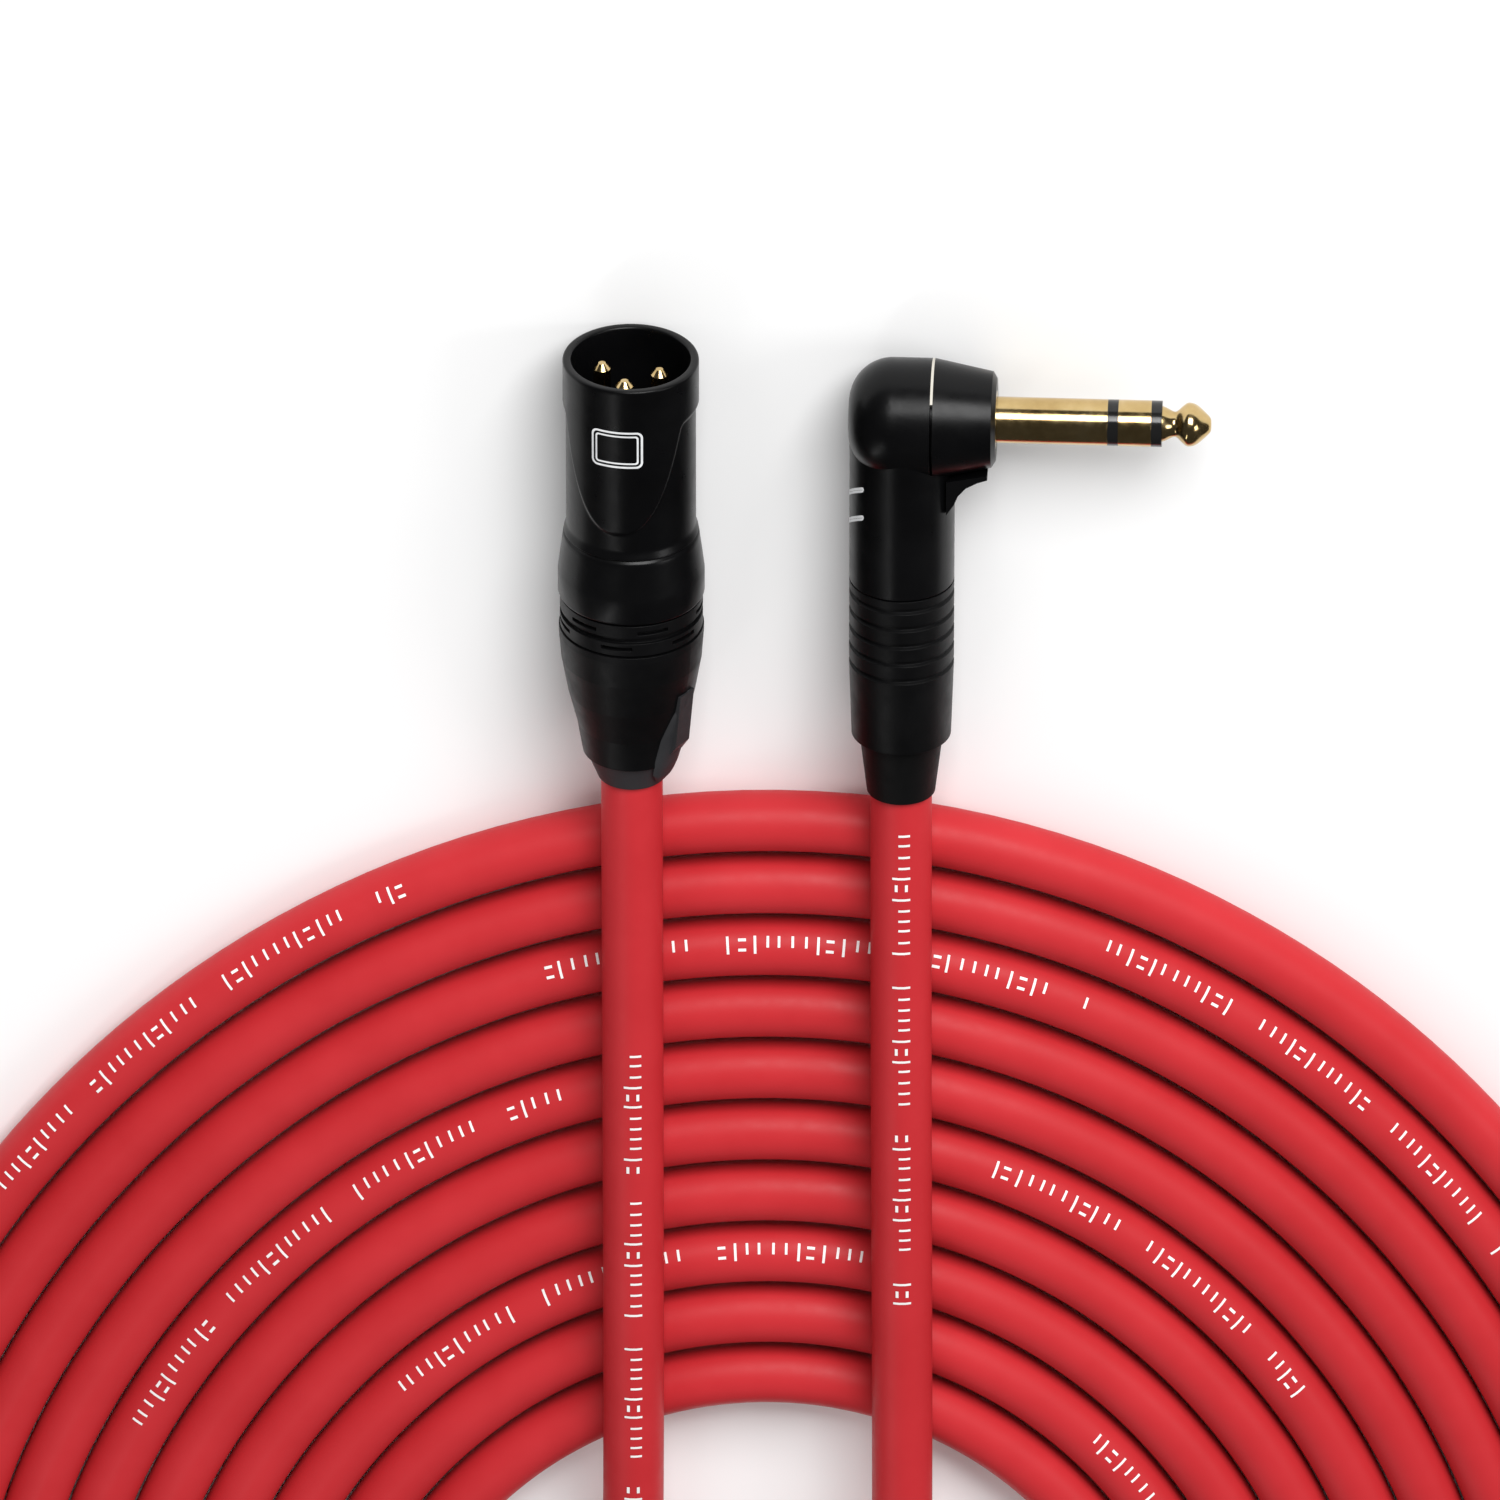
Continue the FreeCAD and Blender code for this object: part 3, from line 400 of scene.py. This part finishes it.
# The shell in millimetres: radii, and places along the plug's axis from the mouth.
SHELL = 9.3
SHELL_BORE = 8.1
INSERT_BORE = 8.35
INSERT_SEAT = 16.2
THREAD_BORE = 8.58
THREAD_START = 27.6
COLLAR = 10.05
COLLAR_END = 36.7
LATCH = (3.4, 5.6)
LATCH_FLOOR = 8.6
TONGUE_START = 6.8
TONGUE_LENGTH = 16
TONGUE_RELIEF = 0.42

# Degrees from the upper side, where the tongue ends and where the latch recess begins.
TONGUE_SIDE = 61
LATCH_SIDE = 169.5

SHELL_COLUMNS = 360


def tongue_edge(angle):
    """Distance from the mouth to the edge of the raised tongue, at degrees from the upper side."""
    fall = 1 - (abs(angle) / TONGUE_SIDE) ** 2.4
    return TONGUE_START + TONGUE_LENGTH * 0.5 * (fall + math.sqrt(fall * fall + 0.012)) / 1.003


def shell_radius(angle, along):
    """The shell's outside: full inside the tongue's edge, a little lower beyond it and at the latch."""
    slope = (tongue_edge(angle + 0.5) - tongue_edge(angle - 0.5)) / (SHELL * math.radians(1))
    past = (along - tongue_edge(angle)) / math.hypot(1, slope)
    step = min(max(past / 0.7 + 0.5, 0), 1)
    back = min(max((27.0 - along) / 1.2, 0), 1)
    if abs(angle) > LATCH_SIDE and LATCH[0] < along < LATCH[1]:
        return LATCH_FLOOR
    return SHELL - TONGUE_RELIEF * step * step * (3 - 2 * step) * back


def shell_profile():
    """The shell's closed profile as (radius, along); no radius means the outside wall with its tongue."""
    count = 104
    wall = {0.35 + (26.7 - 0.35) * k / count for k in range(count + 1)}
    wall = sorted(wall | {edge + side for edge in LATCH for side in (-0.02, 0.02)})
    arc = [math.radians(k * 18) for k in range(5)]
    lip = [(8.95 + 0.35 * math.sin(a), 0.35 - 0.35 * math.cos(a)) for a in arc]
    groove = [(9.22, 26.82), (9.05, 26.95), (9.0, 27.05), (9.06, 27.16), (9.25, 27.3), (9.33, 27.5)]
    flare = [(9.33 + 0.72 * k / 12, 27.5 + 5.7 * k / 12) for k in range(1, 13)]
    collar = [(COLLAR, 34.5), (COLLAR, 36.35), (10.02, 36.5), (9.93, 36.63)]
    collar += [(9.8, COLLAR_END), (8.6, COLLAR_END)]
    thread = [(THREAD_BORE, 36.68), (THREAD_BORE, 27.62), (8.5, THREAD_START), (INSERT_BORE, THREAD_START)]
    seat = [(INSERT_BORE, INSERT_SEAT), (SHELL_BORE, INSERT_SEAT)]
    bore = [(SHELL_BORE, along) for along in (12, 8, 4, 1.5, 0.45)]
    mouth = [(8.13, 0.25), (8.2, 0.12), (8.32, 0.03), (8.45, 0.0), (8.8, 0.0)]
    outside = lip + [(None, along) for along in wall] + groove + flare + collar
    return outside + thread + seat + bore + mouth


def xlr_shell():
    """The die-cast shell: raised tongue, rear groove, flared collar, bores and shallow latch recess."""
    profile = shell_profile()
    rows = len(profile)
    points = []
    for k in range(SHELL_COLUMNS):
        angle = (k * 360 / SHELL_COLUMNS + 180) % 360 - 180
        turn = math.radians(angle)
        for radius, along in profile:
            r = shell_radius(angle, along) if radius is None else radius
            points.append(XLR @ (Vector((-r * math.sin(turn), r * math.cos(turn), along)) * MM))
    faces = lathe_faces(SHELL_COLUMNS, rows)
    piece = mesh_piece("xlr_shell_cast", points, faces, COATING, "cable", "black_coating")
    piece.data.set_sharp_from_angle(angle=math.radians(50))
    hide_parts("xlr_shell")


# The tip's outline as (place along the contact, radius), in millimetres.
TIP_KNOTS = (
    (35.46, 2.45), (36.0, 2.25), (37.0, 1.76), (37.5, 1.85), (38.2, 2.5), (38.75, 2.92), (39.2, 3.0),
    (39.75, 2.9), (40.4, 2.55), (41.2, 1.85), (41.9, 1.15), (42.12, 0.75), (42.15, 0.4),
)
TIP_BORE = 0.05


def smooth_value(a, b, c, d, u):
    """A value a share u of the way from b to c, on a smooth line through all four."""
    straight = 2 * b + (c - a) * u
    return 0.5 * (straight + (2 * a - 5 * b + 4 * c - d) * u * u + (3 * b - a - 3 * c + d) * u**3)


def trs_tip():
    """The contact's tip: a turned waist and a rounded bulb, in one smooth profile with its bore."""
    profile = []
    last = len(TIP_KNOTS) - 1
    for k in range(last):
        near = [TIP_KNOTS[min(max(k + step, 0), last)] for step in (-1, 0, 1, 2)]
        for m in range(5):
            profile.append(tuple(smooth_value(*(knot[n] for knot in near), m / 5) for n in (0, 1)))
    profile += [(TIP_KNOTS[-1][0], TIP_BORE), (TIP_KNOTS[0][0], TIP_BORE)]
    columns, points = 96, []
    for k in range(columns):
        turn = TAU * k / columns
        for x, r in profile:
            points.append(TRS @ (Vector((x, r * math.sin(turn), r * math.cos(turn))) * MM))
    piece = mesh_piece("trs_tip_turned", points, lathe_faces(columns, len(profile)), GOLD, "cable", "gold")
    piece.data.set_sharp_from_angle(angle=math.radians(40))
    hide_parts("trs_tip")


# Against millimetres from the mouth: the bushing's radius, then the degrees of the finger's two sides.
BUSHING_WALL = ((42, 9.95), (47, 9.65), (52.2, 8.75), (57.3, 7.5), (62, 6.75), (64, 6.2), (66.2, 4.9))
FINGER_LEFT = ((50.0, 70), (51.2, 62), (53.7, 53), (57.3, 44), (61, 39), (63.5, 40), (65.2, 50))
FINGER_RIGHT = ((50.0, 70), (51.2, 77), (53.8, 81), (58.8, 86), (63.3, 76), (65.2, 60))
FINGER_START = 50.0
FINGER_LENGTH = 15.2


def xlr_finger():
    """The boot's rubber finger, through the bushing's side: a crowned drop, thickest low down."""
    rows, columns = 60, 24
    points, faces = [], []
    for i in range(rows + 1):
        along = FINGER_START + FINGER_LENGTH * i / rows
        left, right = between(FINGER_LEFT, along), between(FINGER_RIGHT, along)
        swell = 0.35 + 0.45 * math.sin(math.pi * i / rows)
        for k in range(columns + 1):
            u = 2 * k / columns - 1
            turn = math.radians(left + (right - left) * (k / columns))
            r = between(BUSHING_WALL, along) - 0.12 + swell * (1 - u**4) ** 0.5
            points.append(XLR @ (Vector((r * math.sin(turn), r * math.cos(turn), along)) * MM))
    for i in range(rows):
        for k in range(columns):
            a = i * (columns + 1) + k
            faces.append((a, a + 1, a + columns + 2, a + columns + 1))
    mesh_piece("xlr_boot_finger", points, faces, RUBBER, "xlr_nut", "black_rubber")


xlr_shell()
trs_tip()
xlr_finger()

# ---------------------------------------------------------------- printed marks


def ring_outline(half_across, half_along, corner, count=10):
    """A rounded rectangle's points, with its long sides cut finely enough to follow a round wall."""
    corners = []
    for sx, sy, start in ((1, 1, 0), (-1, 1, 90), (-1, -1, 180), (1, -1, 270)):
        for k in range(count + 1):
            turn = math.radians(start + 90 * k / count)
            corners.append((sx * (half_across - corner) + corner * math.cos(turn),
                            sy * (half_along - corner) + corner * math.sin(turn)))
    points = []
    for k, (x, z) in enumerate(corners):
        points.append((x, z))
        if k % (count + 1) == count:
            nx, nz = corners[(k + 1) % len(corners)]
            points += [(x + (nx - x) * m / 24, z + (nz - z) * m / 24) for m in range(1, 24)]
    return points


def wrapped_ring(place, middle, along, radius, outer, inner, slant=0.0):
    """Points and faces of a flat printed band between two rounded outlines, wrapped round a plug's wall.

    slant moves it along the plug as it falls away from the upper side."""
    points, faces = [], []
    for half_across, half_along, corner in (outer, inner):
        for x, z in ring_outline(half_across, half_along, corner):
            turn = math.radians(middle) + x / radius
            lower = slant * radius * (math.cos(math.radians(middle)) - math.cos(turn))
            spot = Vector((radius * math.sin(turn), radius * math.cos(turn), along + z + lower))
            points.append(place @ (spot * MM))
    count = len(points) // 2
    for k in range(count):
        n = (k + 1) % count
        faces.append((k, n, count + n, count + k))
    return points, faces


# Millimetres, but for the handle marks' middle, in degrees from the upper side.
MARK_LIFT = 0.03
SHELL_MARK = 9.2
HANDLE_MARKS = (12.6, 17.0)
HANDLE_MARK_RADIUS = 7.23
HANDLE_MARK_MIDDLE = -96
HANDLE_MARK_SLANT = 0.67


def plug_marks():
    """Plain printed marks: two rounded outlines on the shell, two bars round the handle's side."""
    frames = ((3.65, 2.85, 0.9), (3.35, 2.55, 0.65)), ((3.05, 2.25, 0.45), (2.8, 2.0, 0.3))
    parts = [wrapped_ring(XLR, 0, SHELL_MARK, SHELL + MARK_LIFT, *frame_pair) for frame_pair in frames]
    mesh_piece("xlr_mark", *join_faces(parts), MARK, "cable", "black_coating")
    bar = (6.6, 0.42, 0.4), (6.4, 0.02, 0.01)
    parts = [
        wrapped_ring(TRS, HANDLE_MARK_MIDDLE, along, HANDLE_MARK_RADIUS, *bar, slant=HANDLE_MARK_SLANT)
        for along in HANDLE_MARKS
    ]
    mesh_piece("trs_mark", *join_faces(parts), MARK, "cable", "black_coating")


plug_marks()


def centre_line():
    """Points along the cable's own curve, read from its NURBS without the bevel."""
    guide = spline_curve("guide", cable_route(), 0)
    guide.data.use_fill_caps = False
    mesh = bpy.data.meshes.new_from_object(guide)
    line = [v.co.copy() for v in mesh.vertices]
    data = guide.data
    bpy.data.objects.remove(guide)
    bpy.data.curves.remove(data)
    bpy.data.meshes.remove(mesh)
    return line


LINE = centre_line()

# The print is on the side of the jacket that faces this way, which is roughly towards the camera.
FACING = Vector((0, 0.56, 0.83))

# Millimetres: from one mark to the next, the most that is added to it, the gap after each group, and
# how far the print stands off the jacket.
PRINT_PITCH = 1.55
PRINT_SPREAD = 0.35
PRINT_GAP = 2.4
PRINT_LIFT = 0.04


def nearest(place):
    """The number of the centre line's point that is nearest to a place."""
    place = Vector(place)
    return min(range(len(LINE)), key=lambda i: (LINE[i] - place).length_squared)


def ellipse_spot(turn, degrees):
    """A place on a turn's centre line at an angle of its ellipse."""
    t = math.radians(degrees)
    a, b = half_axes(turn)
    seen = math.degrees(math.atan2(b * math.sin(t), a * math.cos(t))) % 360
    return coil_point(360 * turn + seen)


def tick(centre, along, height, width, shift=0.0):
    """One printed bar across the jacket, wrapped round it. Sizes in millimetres."""
    height, width, shift = height * MM, width * MM, shift * MM
    normal = (FACING - FACING.dot(along) * along).normalized()
    side = along.cross(normal)
    radius = CABLE_RADIUS + PRINT_LIFT * MM
    points = []
    for k in range(4):
        turn = (shift + height * (k / 3 - 0.5)) / CABLE_RADIUS
        spot = centre + radius * (normal * math.cos(turn) + side * math.sin(turn))
        points += [spot - along * width / 2, spot + along * width / 2]
    return points, [(2 * k, 2 * k + 1, 2 * k + 3, 2 * k + 2) for k in range(3)]


def print_run(start, end, seed):
    """Marks along the jacket between two places: tall bars, short bars and dashes in a fixed rhythm."""
    i, j = nearest(start), nearest(end)
    way = 1 if j > i else -1
    parts, gone, due, number = [], 0.0, 0.0, 0
    while i != j:
        a, b = LINE[i], LINE[i + way]
        length = (b - a).length
        along = (b - a).normalized()
        while due < gone + length:
            centre = a + along * (due - gone)
            kind = (number * 5 + seed) % 7
            if number % 13 == 12:
                due += PRINT_GAP * MM
            elif kind in (0, 4):
                parts.append(tick(centre, along, 2.5, 0.36))
            elif kind == 2:
                parts.append(tick(centre, along, 0.4, 1.1, 0.7))
                parts.append(tick(centre, along, 0.4, 1.1, -0.7))
            else:
                parts.append(tick(centre, along, 1.6, 0.36, -0.4))
            due += (PRINT_PITCH + PRINT_SPREAD * ((number * 3) % 4) / 3) * MM
            number += 1
        gone += length
        i += way
    return parts


# Printed runs as (turn, first and last degrees of its ellipse), then one on each lead as two places.
RUNS = (
    (9, 141.6, 110.5), (8, 69.5, 35.5), (7, 105, 67.5), (5, 148.5, 104.7), (4, 70, 38), (2, 130.6, 79),
    (1, 48.7, 35), (6, 22, 2), (3, 172, 195), (8, 200, 222),
)
XLR_RUN = ((-0.0185, 0.060, 0.0129), (-0.0185, -0.015, 0.0129))
TRS_RUN = ((0.019, 0.100, 0.0129), (0.019, 0.022, 0.0129))


def jacket_print():
    """All the printed runs as one piece of plain marks, with no letters."""
    parts = []
    for seed, (turn, start, end) in enumerate(RUNS):
        parts += print_run(ellipse_spot(turn, start), ellipse_spot(turn, end), seed)
    parts += print_run(*XLR_RUN, 3)
    parts += print_run(*TRS_RUN, 5)
    mesh_piece("jacket_print", *join_faces(parts), PRINT, "cable", "jacket")


jacket_print()

# ---------------------------------------------------------------- stage, lights and camera


def area_light(name, place, aim, width, height, watts):
    """A soft white light panel at a place, turned to face another. The camera doesn't see it."""
    data = bpy.data.lights.new(name, "AREA")
    data.shape = "RECTANGLE"
    data.size, data.size_y = width, height
    data.energy = watts
    light = bpy.data.objects.new(name, data)
    light.location = place
    light.rotation_euler = (Vector(aim) - Vector(place)).to_track_quat("-Z", "Y").to_euler()
    light.visible_camera = False
    bpy.context.scene.collection.objects.link(light)


CAMERA_TILT = math.radians(34)
CAMERA_TARGET = Vector((-0.00227, 0.10648, 0.008))
CAMERA_DISTANCE = 3.43879


def camera():
    """A long lens above the plugs' end, tilted off straight down, the plugs' end up."""
    back = Vector((0, math.sin(CAMERA_TILT), math.cos(CAMERA_TILT)))
    up = Vector((0, math.cos(CAMERA_TILT), -math.sin(CAMERA_TILT)))
    right = Vector((1, 0, 0))
    data = bpy.data.cameras.new("camera")
    data.lens, data.sensor_width = 600, 36
    data.clip_end = 100
    eye = bpy.data.objects.new("camera", data)
    turned = Matrix((right, up, back)).transposed().to_4x4()
    turned.translation = CAMERA_TARGET + back * CAMERA_DISTANCE
    eye.matrix_world = turned
    bpy.context.scene.collection.objects.link(eye)
    bpy.context.scene.camera = eye


def floor():
    """A plain pale floor under everything."""
    mesh = bpy.data.meshes.new("floor")
    half, under = 20, -0.0002
    corners = [(-half, -half, under), (half, -half, under), (half, half, under), (-half, half, under)]
    mesh.from_pydata(corners, [], [(0, 1, 2, 3)])
    nodes = Nodes("floor")
    colour = nodes.ramp(nodes.noise(3, 2), ((0.2, (0.92, 0.92, 0.92)), (0.8, (0.94, 0.94, 0.94))))
    nodes.link(colour, nodes.shader.inputs["Base Color"])
    nodes.shader.inputs["Roughness"].default_value = 0.9
    nodes.shader.inputs["Specular IOR Level"].default_value = 0.05
    mesh.materials.append(nodes.material)
    piece = bpy.data.objects.new("floor", mesh)
    bpy.context.scene.collection.objects.link(piece)


# The world's strength as light on pieces, in reflections and where the camera sees it.
WORLD_FILL = 0.42
WORLD_REFLECTED = 0.05
WORLD_SEEN = 0.96


def world():
    """Even pale surroundings, dimmer in reflections so that black parts stay black."""
    sky = bpy.data.worlds.new("studio")
    sky.use_nodes = True
    tree = sky.node_tree
    back = tree.nodes["Background"]
    path = tree.nodes.new("ShaderNodeLightPath")
    mix = tree.nodes.new("ShaderNodeMixShader")
    glossy = tree.nodes.new("ShaderNodeBackground")
    seen = tree.nodes.new("ShaderNodeBackground")
    last = tree.nodes.new("ShaderNodeMixShader")
    back.inputs["Strength"].default_value = WORLD_FILL
    glossy.inputs["Strength"].default_value = WORLD_REFLECTED
    seen.inputs["Strength"].default_value = WORLD_SEEN
    for node in (back, glossy, seen):
        node.inputs["Color"].default_value = (1, 1, 1, 1)
    link = tree.links.new
    link(path.outputs["Is Glossy Ray"], mix.inputs[0])
    link(back.outputs[0], mix.inputs[1])
    link(glossy.outputs[0], mix.inputs[2])
    link(path.outputs["Is Camera Ray"], last.inputs[0])
    link(mix.outputs[0], last.inputs[1])
    link(seen.outputs[0], last.inputs[2])
    link(last.outputs[0], tree.nodes["World Output"].inputs["Surface"])
    bpy.context.scene.world = sky


bpy.context.scene.view_settings.view_transform = "Standard"
floor()
world()
OBJECT_MIDDLE = (0, 0.02, 0)
PLUGS_MIDDLE = (-0.018, 0.13, 0.01)
area_light("key", (0.55, 2.0, 1.55), OBJECT_MIDDLE, 1.5, 1.2, 66)
area_light("side", (2.1, 0.3, 1.5), OBJECT_MIDDLE, 0.8, 0.8, 9)
area_light("strip", (-1.12, -1.23, 1.43), PLUGS_MIDDLE, 0.16, 1.4, 4)
camera()
